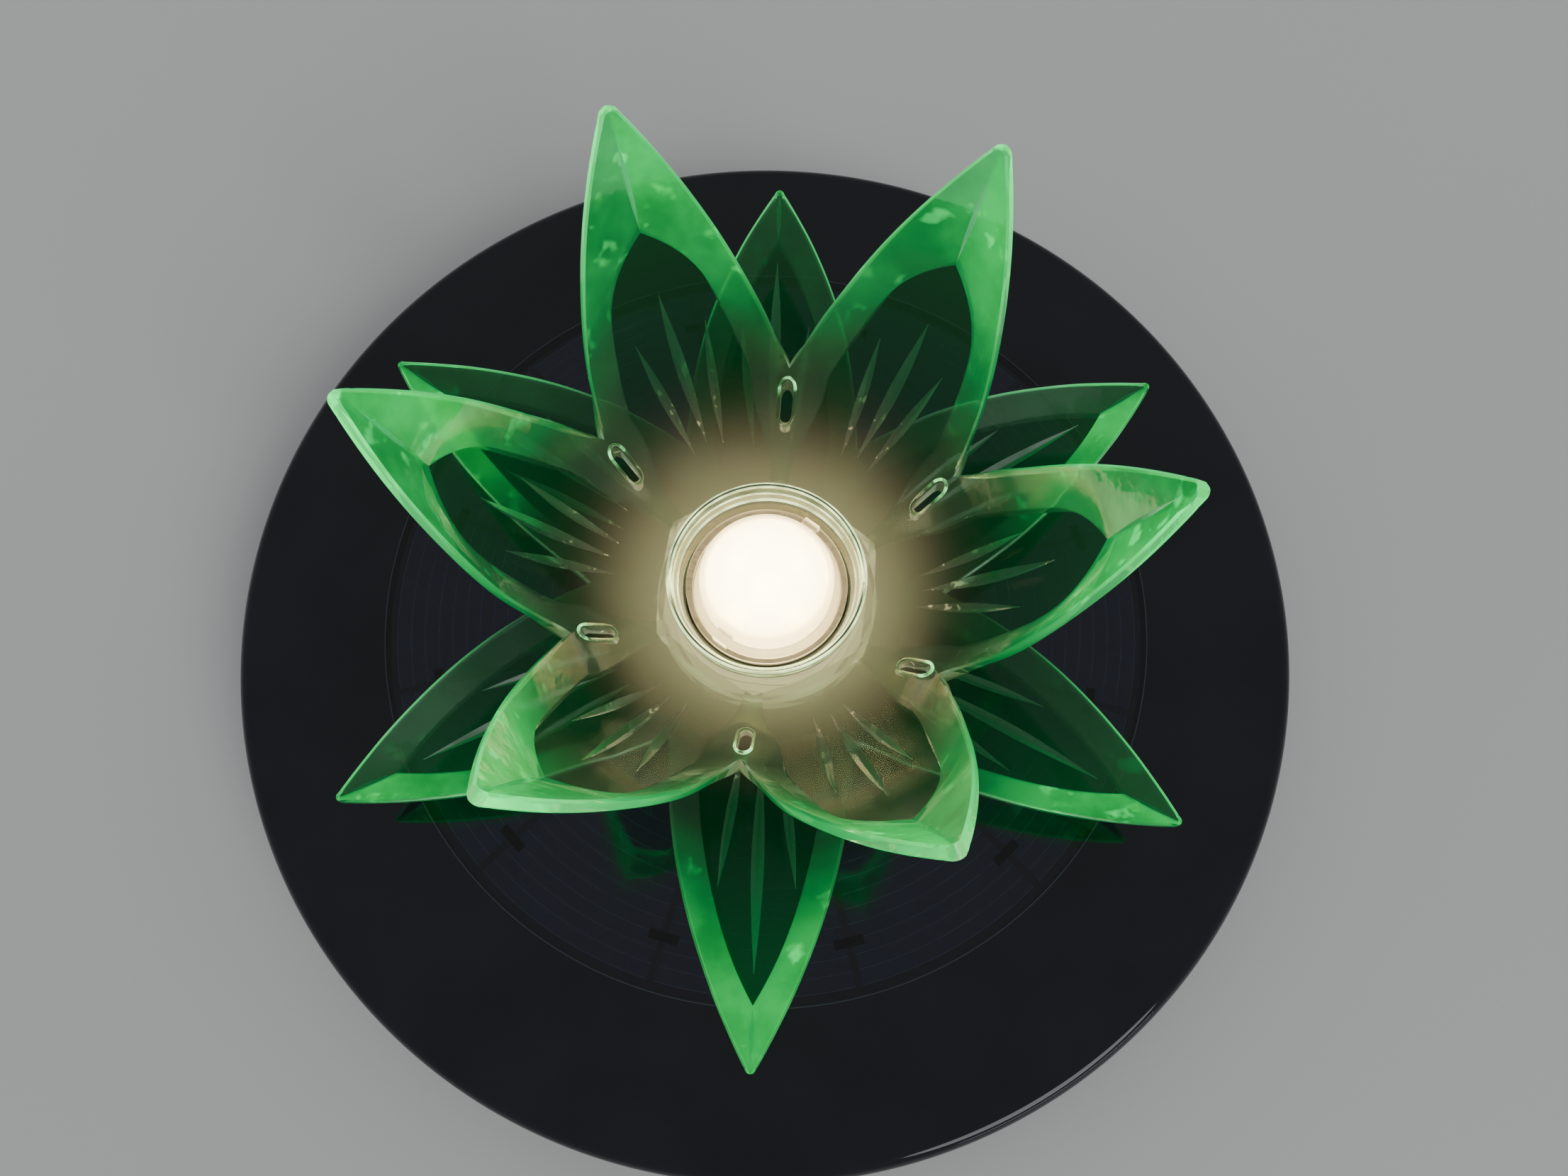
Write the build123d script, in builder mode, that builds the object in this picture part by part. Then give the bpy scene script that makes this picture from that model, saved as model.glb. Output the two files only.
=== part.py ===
from build123d import *
import os

os.makedirs("parts", exist_ok=True)

# Floating lotus light, in millimetres. The origin is the middle of the underside,
# +Z is up, and +X and +Y lie along the battery and across it.

# ---- driving dimensions -------------------------------------------------------
deck_r = 92.0  # float disc, outer radius
deck_top = 20.0  # top face of the disc
deck_under = 17.6  # underside of the clear deck
wall = 2.0  # moulded wall of the hull
lip_wall = 2.2  # turned-down rim of the deck
lip_low = 13.0

petal_count = 6
petal_angle = 360 / petal_count
lower_yaw = -90.0  # one lower petal points along -Y
upper_yaw = -4.83  # the tiers aren't keyed, so the upper one stands a little round
lower_tip_r = 75.0
lower_tip_z = deck_top + 15.0
upper_tip_r = 51.8
upper_tip_z = deck_top + 68.4
notch_z = deck_top + 27.2  # where two upper petals part
notch_half = 16.7  # half the width of an upper petal there
petal_wall = 2.4

turret_r = 14.04  # the cup slides over this
turret_waist = 13.4
turret_shoulder = 27.0
turret_top = 31.0
turret_screw_r = 11.3
cup_bore = 14.1
cup_r = 15.3
cup_rim_r = 16.3
cup_rim_z = deck_top + 17.4
tier_bore = 15.36
lens_r = 11.0

hull_flat_r = 74.0
flange_r = 89.5
flange_low = 15.4
seal_r = 86.0
seal_section_r = 0.8

eye_r = 2.0  # tether eye, moulded under the rim at -Y
eye_width = 3.0
eye_centre_r = 86.9
eye_centre_z = 11.2
eye_reach = 89.3

post_r = 70.5  # circle of the screws that close the hull
post_count = 6
post_split = 10.0  # hull posts end and deck posts begin here

cell_inner_r = 24.0
cell_outer_r = 65.0
backing_inner_r = 21.0
backing_low = 16.0
cell_low = 17.2
cell_top = 17.5

battery_r = 5.25
battery_length = 44.5
battery_y = 5.6
battery_z = 8.2
bay_half = 25.0  # half the length of the battery bay
bay_half_y = 12.4
land_top = 5.0
hatch_size = (66.0, 38.0)
hatch_low = 0.3
hatch_top = 2.3
groove_low = 1.3  # groove in the hatch for its seal
groove_outer = (57.6, 28.6, 3.8)  # length, width and corner radius
groove_inner = (54.4, 25.4, 2.2)
grip_y = 16.4  # finger grips, outside the seal's groove
recess_top = 2.4
hatch_screw_x = 60.4
hatch_screw_y = 32.8

board_size = (30.0, 22.0)
board_y = 35.0
board_low = 11.0
board_top = 12.6
board_hole_pitch = (25.0, 17.0)
button_r = 5.0
button_bore = 5.06
pocket_r = 9.0
pocket_top = 3.0

wire_r = 0.5


def corner(section, r, z):
    """The section's vertex nearest to a radius and a height."""
    return section.vertices().sort_by_distance((r, z))[0]


# ---- hull: the black pan that floats ------------------------------------------
with BuildPart() as hull:
    with BuildSketch(Plane.XZ) as hull_section:
        Polygon(
            (0, 0),
            (hull_flat_r, 0),
            (84, 8),
            (84, flange_low),
            (flange_r, flange_low),
            (flange_r, deck_under),
            (82, deck_under),
            (82, 9),
            (73.2, wall),
            (0, wall),
            align=None,
        )
        with Locations((seal_r, deck_under)):
            Rectangle(1.8, 3.2, mode=Mode.SUBTRACT)
        fillet(corner(hull_section, hull_flat_r, 0), radius=3)
        fillet(corner(hull_section, 84, 8), radius=5)
    revolve(axis=Axis.Z)
    # raised land round the battery bay
    with BuildSketch() as land:
        RectangleRounded(72, 44, 5)
    extrude(amount=land_top)
    # pocket that keeps the button off the ground
    with BuildSketch():
        with Locations((0, board_y)):
            Circle(pocket_r + wall)
    extrude(amount=land_top)
    # posts: round the rim, under the board, and over the hatch screws
    with BuildSketch(Plane.XY.offset(wall)):
        with PolarLocations(post_r, post_count, start_angle=30):
            Circle(4.2)
    extrude(amount=post_split - wall)
    with BuildSketch(Plane.XY.offset(wall)):
        with Locations((0, board_y)):
            with GridLocations(*board_hole_pitch, 2, 2):
                Circle(2.2)
    extrude(amount=board_low - wall)
    with BuildSketch(Plane.XY.offset(land_top)):
        with GridLocations(hatch_screw_x, hatch_screw_y, 2, 2):
            Circle(2.4)
    extrude(amount=2.5)
    # openings in the floor
    with BuildSketch():
        RectangleRounded(hatch_size[0] + 0.6, hatch_size[1] + 0.6, 4.3)
    extrude(amount=recess_top, mode=Mode.SUBTRACT)
    with BuildSketch():
        Rectangle(2 * bay_half, 2 * bay_half_y)
    extrude(amount=land_top, mode=Mode.SUBTRACT)
    with BuildSketch():
        with Locations((0, board_y)):
            Circle(pocket_r)
    extrude(amount=pocket_top, mode=Mode.SUBTRACT)
    with BuildSketch():
        with Locations((0, board_y)):
            Circle(button_bore)
    extrude(amount=land_top, mode=Mode.SUBTRACT)
    # screw holes
    with BuildSketch():
        with PolarLocations(post_r, post_count, start_angle=30):
            Circle(1.7)
    extrude(amount=post_split, mode=Mode.SUBTRACT)
    with BuildSketch():
        with PolarLocations(post_r, post_count, start_angle=30):
            Circle(3.2)
    extrude(amount=3.2, mode=Mode.SUBTRACT)
    with BuildSketch():
        with GridLocations(hatch_screw_x, hatch_screw_y, 2, 2):
            Circle(1.06)
    extrude(amount=6.5, mode=Mode.SUBTRACT)
    with BuildSketch(Plane.XY.offset(6)):
        with Locations((0, board_y)):
            with GridLocations(*board_hole_pitch, 2, 2):
                Circle(0.85)
    extrude(amount=board_low - 6, mode=Mode.SUBTRACT)
    # tether eye under the rim
    with BuildSketch(Plane.YZ):
        Polygon(
            (-83.5, flange_low),
            (-83.5, 9),
            (-88.4, 8.2),
            (-eye_reach, 9.5),
            (-eye_reach, flange_low),
            align=None,
        )
        with Locations((-eye_centre_r, eye_centre_z)):
            Circle(eye_r, mode=Mode.SUBTRACT)
    extrude(amount=eye_width / 2, both=True)
hull.part.label = "hull"

# ---- deck: clear cover with a turned-down rim ---------------------------------
with BuildPart() as deck_cover:
    with BuildSketch(Plane.XZ) as deck_section:
        Polygon(
            (9, deck_under),
            (9, deck_top),
            (deck_r, deck_top),
            (deck_r, lip_low),
            (deck_r - lip_wall, lip_low),
            (deck_r - lip_wall, deck_under),
            align=None,
        )
        fillet(corner(deck_section, deck_r, deck_top), radius=2.2)
    revolve(axis=Axis.Z)
    with BuildSketch(Plane.XY.offset(post_split)):
        with PolarLocations(post_r, post_count, start_angle=30):
            Circle(3.4)
    extrude(amount=deck_under - post_split)
    with BuildSketch(Plane.XY.offset(post_split)):
        with PolarLocations(post_r, post_count, start_angle=30):
            Circle(1.52)
    extrude(amount=6.6, mode=Mode.SUBTRACT)
    with BuildSketch(Plane.XY.offset(deck_under)):
        with PolarLocations(turret_screw_r, 3, start_angle=90):
            Circle(1.1)
    extrude(amount=deck_top - deck_under, mode=Mode.SUBTRACT)
deck_cover.part.label = "deck_cover"

with BuildPart() as deck_seal:
    with BuildSketch(Plane.XZ):
        with Locations((seal_r, deck_under - seal_section_r)):
            Circle(seal_section_r)
    revolve(axis=Axis.Z)
deck_seal.part.label = "deck_seal"

# ---- fasteners ----------------------------------------------------------------
def screws(places, low, head_r, head_height, shank_r, shank_length):
    """A group of pan-head screws that point up, with their drive slots cut."""
    with BuildPart() as group:
        with BuildSketch(Plane.XY.offset(low)):
            with places:
                Circle(head_r)
        extrude(amount=head_height)
        with BuildSketch(Plane.XY.offset(low + head_height)):
            with places:
                Circle(shank_r)
        extrude(amount=shank_length)
        with BuildSketch(Plane.XY.offset(low)):
            with places:
                Rectangle(1.5 * head_r, 0.25 * head_r)
                Rectangle(0.25 * head_r, 1.5 * head_r)
        extrude(amount=head_height / 2, mode=Mode.SUBTRACT)
    return group


hull_screws = screws(
    PolarLocations(post_r, post_count, start_angle=30),
    low=1.4,
    head_r=2.8,
    head_height=1.8,
    shank_r=1.5,
    shank_length=12.6,
)
hull_screws.part.label = "hull_screws"

turret_screws = screws(
    PolarLocations(turret_screw_r, 3, start_angle=90),
    low=15.9,
    head_r=1.9,
    head_height=1.7,
    shank_r=1.0,
    shank_length=6.0,
)
turret_screws.part.label = "turret_screws"

# ---- solar panel under the deck -----------------------------------------------
with BuildPart() as solar_backing:
    with BuildSketch(Plane.XY.offset(backing_low)):
        Circle(cell_outer_r + 1)
        Circle(backing_inner_r, mode=Mode.SUBTRACT)
    extrude(amount=cell_low - backing_low)
solar_backing.part.label = "solar_backing"

with BuildPart() as solar_cells:
    with BuildSketch(Plane.XY.offset(cell_low)):
        Circle(cell_outer_r)
        Circle(cell_inner_r, mode=Mode.SUBTRACT)
        with PolarLocations(44, 12, start_angle=15):
            Rectangle(50, 1.2, mode=Mode.SUBTRACT)
    extrude(amount=cell_top - cell_low)
solar_cells.part.label = "solar_cells"

with BuildPart() as cell_tabs:
    with BuildSketch(Plane.XY.offset(cell_top)):
        with PolarLocations(58, 12, start_angle=15):
            Rectangle(1.6, 5)
    extrude(amount=deck_under - cell_top)
cell_tabs.part.label = "cell_tabs"

# ---- turret: lamp housing on the deck -----------------------------------------
with BuildPart() as turret:
    with BuildSketch(Plane.XZ):
        Polygon(
            (6, deck_top),
            (turret_r, deck_top),
            (turret_r, turret_shoulder),
            (turret_waist, turret_shoulder),
            (turret_waist, turret_top),
            (12.4, turret_top),
            (12.4, 28.6),
            (11.2, 28.6),
            (11.2, 21.5),
            (6, 21.5),
            align=None,
        )
    revolve(axis=Axis.Z)
    with BuildSketch(Plane.XY.offset(21.5)):
        with PolarLocations(turret_screw_r, 3, start_angle=90):
            Circle(2.1)
    extrude(amount=3)
    with BuildSketch(Plane.XY.offset(deck_top)):
        with PolarLocations(turret_screw_r, 3, start_angle=90):
            Circle(1.03)
    extrude(amount=3.8, mode=Mode.SUBTRACT)
turret.part.label = "turret"

with BuildPart() as led_board:
    with BuildSketch(Plane.XY.offset(28.6)):
        Circle(12.2)
        with PolarLocations(3, 2):
            Circle(0.6, mode=Mode.SUBTRACT)
    extrude(amount=1.2)
led_board.part.label = "led_board"

with BuildPart() as led_chips:
    with BuildSketch(Plane.XY.offset(29.8)):
        Rectangle(5, 5)
        with PolarLocations(6.5, 4, start_angle=45):
            Rectangle(3, 3)
    extrude(amount=1.2)
    fillet(led_chips.edges().filter_by(Axis.Z), radius=0.4)
led_chips.part.label = "led_chips"

with BuildPart() as led_lens:
    with BuildSketch(Plane.XZ):
        with BuildLine():
            Polyline((12.3, 30.0), (12.3, turret_top), (turret_waist, turret_top), (turret_waist, 32.4))
            Polyline((turret_waist, 32.4), (lens_r, 32.4), (lens_r, 36.3))
            ThreePointArc((lens_r, 36.3), (5.8, 39.85), (0.5, 41.0))
            Polyline((0.5, 41.0), (0, 41.0), (0, 39.4), (0.5, 39.4))
            ThreePointArc((0.5, 39.4), (5.0, 38.53), (9.6, 35.9))
            Polyline((9.6, 35.9), (9.6, 31.6), (11.0, 30.0), (12.3, 30.0))
        make_face()
    revolve(axis=Axis.Z)
    with BuildSketch(Plane.XY.offset(31.6)):
        with PolarLocations(11.6, 2, start_angle=55):
            Rectangle(2.4, 2.8)
    extrude(amount=3.2)
led_lens.part.label = "led_lens"

# ---- battery bay --------------------------------------------------------------
with BuildPart() as battery_tray:
    with BuildSketch(Plane.XY.offset(land_top)):
        RectangleRounded(2 * bay_half + 2.8, 2 * bay_half_y + 2.8, 1.4)
    extrude(amount=9.8)
    with BuildSketch(Plane.XY.offset(land_top)):
        Rectangle(2 * bay_half, 2 * bay_half_y)
    extrude(amount=8.8, mode=Mode.SUBTRACT)
battery_tray.part.label = "battery_tray"

nub_length = 1.2
cell_start = bay_half - 0.4 - battery_length
with BuildPart() as battery_cells:
    with BuildSketch(Plane.YZ.offset(cell_start)):
        with Locations((battery_y, battery_z)):
            Circle(battery_r)
    extrude(amount=battery_length - nub_length)
    with BuildSketch(Plane.YZ.offset(cell_start + battery_length - nub_length)):
        with Locations((battery_y, battery_z)):
            Circle(1.9)
    extrude(amount=nub_length)
    add(battery_cells.part.rotate(Axis.Z, 180))
battery_cells.part.label = "battery_cells"

with BuildPart() as contact_plates:
    with BuildSketch(Plane.YZ.offset(bay_half - 0.4)):
        with Locations((battery_y, battery_z)):
            Rectangle(8, 8)
    extrude(amount=0.4)
    add(contact_plates.part.rotate(Axis.Z, 180))
contact_plates.part.label = "contact_plates"

with BuildPart() as contact_springs:
    with BuildSketch(Plane.XY.offset(battery_z - 3)):
        with Locations((-bay_half, battery_y)):
            Rectangle(0.4, 8, align=(Align.MIN, Align.CENTER))
            Polygon(
                (0.4, -3.4),
                (cell_start + bay_half, 0),
                (0.4, 3.4),
                (0.4, 2.7),
                (4.1, 0),
                (0.4, -2.7),
                align=None,
            )
    extrude(amount=6)
    add(contact_springs.part.rotate(Axis.Z, 180))
contact_springs.part.label = "contact_springs"

with BuildPart() as battery_hatch:
    with BuildSketch(Plane.XY.offset(hatch_low)):
        RectangleRounded(*hatch_size, 4)
    extrude(amount=hatch_top - hatch_low)
    with BuildSketch(Plane.XY.offset(groove_low)):
        RectangleRounded(*groove_outer)
        RectangleRounded(*groove_inner, mode=Mode.SUBTRACT)
    extrude(amount=hatch_top - groove_low, mode=Mode.SUBTRACT)
    with BuildSketch(Plane.XY.offset(hatch_low)):
        with GridLocations(hatch_screw_x, hatch_screw_y, 2, 2):
            Circle(1.1)
    extrude(amount=hatch_top - hatch_low, mode=Mode.SUBTRACT)
    with BuildSketch(Plane.XY.offset(hatch_low)):
        with GridLocations(hatch_screw_x, hatch_screw_y, 2, 2):
            Circle(2.0)
        with GridLocations(0, 2 * grip_y, 1, 2):
            SlotOverall(16, 2.4)
    extrude(amount=1.0, mode=Mode.SUBTRACT)
battery_hatch.part.label = "battery_hatch"

with BuildPart() as hatch_seal:
    with BuildSketch(Plane.XY.offset(groove_low)):
        RectangleRounded(*groove_outer)
        RectangleRounded(*groove_inner, mode=Mode.SUBTRACT)
    extrude(amount=recess_top - groove_low - 0.05)
hatch_seal.part.label = "hatch_seal"

hatch_screws = screws(
    GridLocations(hatch_screw_x, hatch_screw_y, 2, 2),
    low=hatch_low,
    head_r=1.9,
    head_height=1.0,
    shank_r=1.0,
    shank_length=5.0,
)
hatch_screws.part.label = "hatch_screws"

# ---- control board ------------------------------------------------------------
with BuildPart() as control_board:
    with BuildSketch(Plane.XY.offset(board_low)):
        with Locations((0, board_y)):
            RectangleRounded(*board_size, 1.5)
            with GridLocations(*board_hole_pitch, 2, 2):
                Circle(1.0, mode=Mode.SUBTRACT)
    extrude(amount=board_top - board_low)
control_board.part.label = "control_board"

with BuildPart() as board_screws:
    with BuildSketch(Plane.XY.offset(board_top)):
        with Locations((0, board_y)):
            with GridLocations(*board_hole_pitch, 2, 2):
                Circle(1.6)
    extrude(amount=1.0)
    with BuildSketch(Plane.XY.offset(7)):
        with Locations((0, board_y)):
            with GridLocations(*board_hole_pitch, 2, 2):
                Circle(0.8)
    extrude(amount=board_top - 7)
board_screws.part.label = "board_screws"

with BuildPart() as controller_chip:
    with BuildSketch(Plane.XY.offset(board_top + 0.2)):
        with Locations((-4, board_y - 2)):
            Rectangle(4, 5)
    extrude(amount=1.5)
    chamfer(controller_chip.edges().group_by(Axis.Z)[-1], length=0.3)
    with BuildSketch(Plane.XY.offset(board_top)):
        with Locations((-4, board_y - 2)):
            with GridLocations(5, 1.27, 2, 4):
                Rectangle(1.2, 0.45)
    extrude(amount=0.6)
controller_chip.part.label = "controller_chip"

with BuildPart() as boost_coil:
    for radius, low, high in ((3, 0, 0.6), (2.4, 0.6, 2.0), (3, 2.0, 2.6)):
        with BuildSketch(Plane.XY.offset(board_top + low)):
            with Locations((5, board_y + 3)):
                Circle(radius)
        extrude(amount=high - low)
boost_coil.part.label = "boost_coil"

with BuildPart() as storage_capacitor:
    with BuildSketch(Plane.XY.offset(board_top)):
        with Locations((5, board_y - 5)):
            RectangleRounded(4.3, 4.3, 0.6)
    extrude(amount=0.6)
    with BuildSketch(Plane.XY.offset(board_top + 0.6)):
        with Locations((5, board_y - 5)):
            Circle(2.0)
    extrude(amount=2.2)
    fillet(storage_capacitor.edges().group_by(Axis.Z)[-1], radius=0.4)
storage_capacitor.part.label = "storage_capacitor"

switch_low = 8.4
with BuildPart() as switch_body:
    with BuildSketch(Plane.XY.offset(switch_low)):
        with Locations((0, board_y)):
            RectangleRounded(6, 6, 0.4)
    extrude(amount=board_low - switch_low)
    with BuildSketch(Plane.XY.offset(switch_low)):
        with Locations((0, board_y)):
            Circle(1.8)
    extrude(amount=1.9, mode=Mode.SUBTRACT)
switch_body.part.label = "switch_body"

# ---- power button -------------------------------------------------------------
with BuildPart() as power_button:
    with BuildSketch(Plane.XY.offset(1.0)):
        with Locations((0, board_y)):
            Circle(button_r)
    extrude(amount=4.65)
    fillet(power_button.edges().group_by(Axis.Z)[0], radius=0.8)
    with BuildSketch(Plane.XY.offset(5.65)):
        with Locations((0, board_y)):
            Circle(6.5)
    extrude(amount=0.95)
power_button.part.label = "power_button"

with BuildPart() as button_seal:
    with BuildSketch(Plane.XY.offset(land_top)):
        with Locations((0, board_y)):
            Circle(8)
            Circle(5.2, mode=Mode.SUBTRACT)
    extrude(amount=0.6)
button_seal.part.label = "button_seal"

with BuildPart() as switch_plunger:
    with BuildSketch(Plane.XY.offset(6.6)):
        with Locations((0, board_y)):
            Circle(1.72)
    extrude(amount=2.3)
switch_plunger.part.label = "switch_plunger"

# ---- leads --------------------------------------------------------------------
def leads(route, bend_r, mirrored):
    """A lead along its route, with its pair mirrored across X when there is one."""
    with BuildPart() as pair:
        with BuildLine() as path:
            FilletPolyline(*route, radius=bend_r)
        with BuildSketch(Plane(origin=path.line @ 0, z_dir=path.line % 0)):
            Circle(wire_r)
        sweep()
        if mirrored:
            mirror(about=Plane.YZ)
    return pair


led_route = [
    (3, 27, board_top),
    (3, 27, 14.4),
    (3, 22, 15.3),
    (3, 0, 15.62),
    (3, 0, 29.6),
]
led_leads = leads(led_route, 1.4, True)
led_leads.part.label = "led_leads"

solar_route = [
    (10, 39, board_top),
    (10, 39, 14.3),
    (10, 50, 14.3),
    (10, 50, backing_low),
]
solar_leads = leads(solar_route, 1.2, True)
solar_leads.part.label = "solar_leads"

battery_route = [
    (20, bay_half_y + 1.4, 10),
    (20, 17, 10),
    (20, 30, 14.2),
    (12, 32, 14.2),
    (12, 32, board_top),
]
battery_leads = leads(battery_route, 1.2, True)
battery_leads.part.label = "battery_leads"

# ---- flower cup ---------------------------------------------------------------
with BuildPart() as flower_cup:
    with BuildSketch(Plane.XZ) as cup_section:
        Polygon(
            (cup_bore, 20.3),
            (cup_r, 20.3),
            (cup_r, 20.6),
            (cup_r - 0.4, 20.6),
            (cup_r - 0.4, 21.6),
            (cup_r, 21.6),
            (cup_r, 33.0),
            (cup_rim_r, 34.4),
            (cup_rim_r, cup_rim_z),
            (cup_rim_r - 0.9, cup_rim_z),
            (cup_rim_r - 0.9, 34.8),
            (14.6, 33.6),
            (13.75, 31.5),
            (13.75, turret_shoulder + 0.05),
            (cup_bore, turret_shoulder + 0.05),
            align=None,
        )
        fillet(corner(cup_section, cup_rim_r, cup_rim_z), radius=0.4)
    revolve(axis=Axis.Z)
flower_cup.part.label = "flower_cup"

with BuildPart() as tier_clip:
    with BuildSketch(Plane.XY.offset(20.6)):
        Circle(17.2)
        Circle(cup_r - 0.4, mode=Mode.SUBTRACT)
        with Locations((16, 0)):
            Rectangle(6, 5, mode=Mode.SUBTRACT)
    extrude(amount=1.0)
tier_clip.part.label = "tier_clip"

# ---- petals -------------------------------------------------------------------
lower_curve = [(17, 23.2), (30, 28.2), (45, 31.6), (60, 33.2), (lower_tip_r, lower_tip_z)]
upper_curve = [(17, 31.2), (24, 37), (32, 45.2), (41, 57.4), (46.2, 68), (upper_tip_r, upper_tip_z)]
wedge_reach = 90.0
wedge_half = 51.96  # half the width of a sixty-degree wedge at that reach


def petal_band(curve, drop):
    """A dished band turned about Z and cut to one petal's sixty degrees."""
    with BuildPart() as band:
        with BuildSketch(Plane.XZ):
            with BuildLine():
                upper = Spline(*curve)
                lower = Spline(*[(r + drop[0], z + drop[1]) for r, z in curve])
                Line(upper @ 0, lower @ 0)
                Line(upper @ 1, lower @ 1)
            make_face()
        revolve(axis=Axis.Z)
        with BuildSketch():
            Polygon((0, 0), (wedge_reach, -wedge_half), (wedge_reach, wedge_half), align=None)
        extrude(amount=wedge_reach, mode=Mode.INTERSECT)
    return band.part


with BuildPart() as lower_blade:
    add(petal_band(lower_curve, (0.5, -petal_wall)))
    with BuildSketch():
        with BuildLine():
            ThreePointArc((24.2, 13.97), (55, 9.6), (lower_tip_r, 0))
            ThreePointArc((lower_tip_r, 0), (55, -9.6), (24.2, -13.97))
            Polyline((24.2, -13.97), (24.2, -20), (10, -20), (10, 20), (24.2, 20), (24.2, 13.97))
        make_face()
    extrude(amount=wedge_reach, mode=Mode.INTERSECT)

with BuildPart() as lower_petals:
    with BuildSketch(Plane.XY.offset(21.9)):
        Circle(19)
    extrude(amount=3.7)
    with PolarLocations(0, petal_count, start_angle=lower_yaw):
        add(lower_blade.part)
    with BuildSketch(Plane.XY.offset(deck_top)):
        Circle(tier_bore)
    extrude(amount=10, mode=Mode.SUBTRACT)
lower_petals.part.label = "lower_petals"

with BuildPart() as upper_blade:
    add(petal_band(upper_curve, (1.9, -1.5)))
    with BuildSketch(Plane.YZ):
        with BuildLine():
            ThreePointArc((notch_half, notch_z), (10.1, 68), (1.6, upper_tip_z - 1.2))
            ThreePointArc((1.6, upper_tip_z - 1.2), (0, upper_tip_z), (-1.6, upper_tip_z - 1.2))
            ThreePointArc((-1.6, upper_tip_z - 1.2), (-10.1, 68), (-notch_half, notch_z))
            Polyline((-notch_half, notch_z), (-40, notch_z), (-40, 0), (0, 0))
            Polyline((0, 0), (40, 0), (40, notch_z), (notch_half, notch_z))
        make_face()
    extrude(amount=wedge_reach, mode=Mode.INTERSECT)

with BuildPart() as upper_petals:
    with BuildSketch(Plane.XY.offset(25.9)):
        Circle(18.8)
    extrude(amount=6.4)
    with PolarLocations(0, petal_count, start_angle=upper_yaw):
        add(upper_blade.part)
    with BuildSketch(Plane.XY.offset(deck_top)):
        Circle(tier_bore)
    extrude(amount=20, mode=Mode.SUBTRACT)
    # a small eyelet where each pair of petals parts
    with BuildSketch(Plane.XY.offset(35)):
        with PolarLocations(28.3, petal_count, start_angle=upper_yaw + petal_angle / 2):
            SlotOverall(4.4, 2.0)
    extrude(amount=14, mode=Mode.SUBTRACT)
upper_petals.part.label = "upper_petals"

# ---- files --------------------------------------------------------------------
pieces = [
    hull, deck_cover, deck_seal, hull_screws, turret_screws,
    solar_backing, solar_cells, cell_tabs,
    turret, led_board, led_chips, led_lens,
    battery_tray, battery_cells, contact_plates, contact_springs,
    battery_hatch, hatch_seal, hatch_screws,
    control_board, board_screws, controller_chip, boost_coil, storage_capacitor, switch_body,
    power_button, button_seal, switch_plunger,
    led_leads, solar_leads, battery_leads,
    flower_cup, tier_clip, lower_petals, upper_petals,
]
for piece in pieces:
    export_step(piece.part, f"parts/{piece.part.label}.step")
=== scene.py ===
"""The looks of a floating lotus light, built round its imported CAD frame. Lengths are in metres."""

import math

import bmesh
import bpy
import numpy as np
from mathutils import Matrix, Vector


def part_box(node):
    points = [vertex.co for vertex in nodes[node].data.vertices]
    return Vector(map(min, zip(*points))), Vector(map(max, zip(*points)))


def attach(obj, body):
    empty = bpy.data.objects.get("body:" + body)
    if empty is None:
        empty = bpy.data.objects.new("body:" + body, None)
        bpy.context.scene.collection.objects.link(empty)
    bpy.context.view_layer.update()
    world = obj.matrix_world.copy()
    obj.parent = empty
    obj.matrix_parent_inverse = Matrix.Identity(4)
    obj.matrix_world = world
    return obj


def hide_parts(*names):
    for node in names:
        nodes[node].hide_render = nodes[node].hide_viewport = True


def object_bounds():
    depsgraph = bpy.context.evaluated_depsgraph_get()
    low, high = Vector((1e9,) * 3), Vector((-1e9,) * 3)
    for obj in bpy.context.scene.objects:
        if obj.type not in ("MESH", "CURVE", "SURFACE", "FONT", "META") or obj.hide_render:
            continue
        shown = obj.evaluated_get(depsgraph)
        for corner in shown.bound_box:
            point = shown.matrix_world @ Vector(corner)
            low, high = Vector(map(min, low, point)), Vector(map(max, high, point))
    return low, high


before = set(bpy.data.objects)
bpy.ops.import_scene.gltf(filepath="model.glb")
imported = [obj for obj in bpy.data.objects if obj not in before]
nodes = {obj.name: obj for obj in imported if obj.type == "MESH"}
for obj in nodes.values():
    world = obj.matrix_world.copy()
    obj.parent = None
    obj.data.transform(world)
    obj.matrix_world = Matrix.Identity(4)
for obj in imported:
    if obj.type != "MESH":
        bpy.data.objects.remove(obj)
cad_low, cad_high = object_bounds()
MM = 0.001
DECK_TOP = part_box("turret")[0].z  # the turret stands on the deck


# ---- camera ---------------------------------------------------------------------
LENS, SENSOR = 27.03, 36.0  # millimetres; a phone's main camera
CAMERA_PLACE = (0.00286, -0.06029, DECK_TOP + 0.19777)
CAMERA_TILT, CAMERA_ROLL = 17.88, 1.65


def make_camera():
    """A phone held in front of the light, looking steeply down into the flower."""
    data = bpy.data.cameras.new("camera")
    data.lens = LENS
    data.sensor_width = SENSOR
    data.clip_start = 0.01
    camera = bpy.data.objects.new("camera", data)
    bpy.context.scene.collection.objects.link(camera)
    place = Matrix.Translation(CAMERA_PLACE)
    tilt = Matrix.Rotation(math.radians(CAMERA_TILT), 4, "X")
    roll = Matrix.Rotation(math.radians(CAMERA_ROLL), 4, "Z")
    camera.matrix_world = place @ tilt @ roll
    bpy.context.scene.camera = camera


make_camera()


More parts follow.
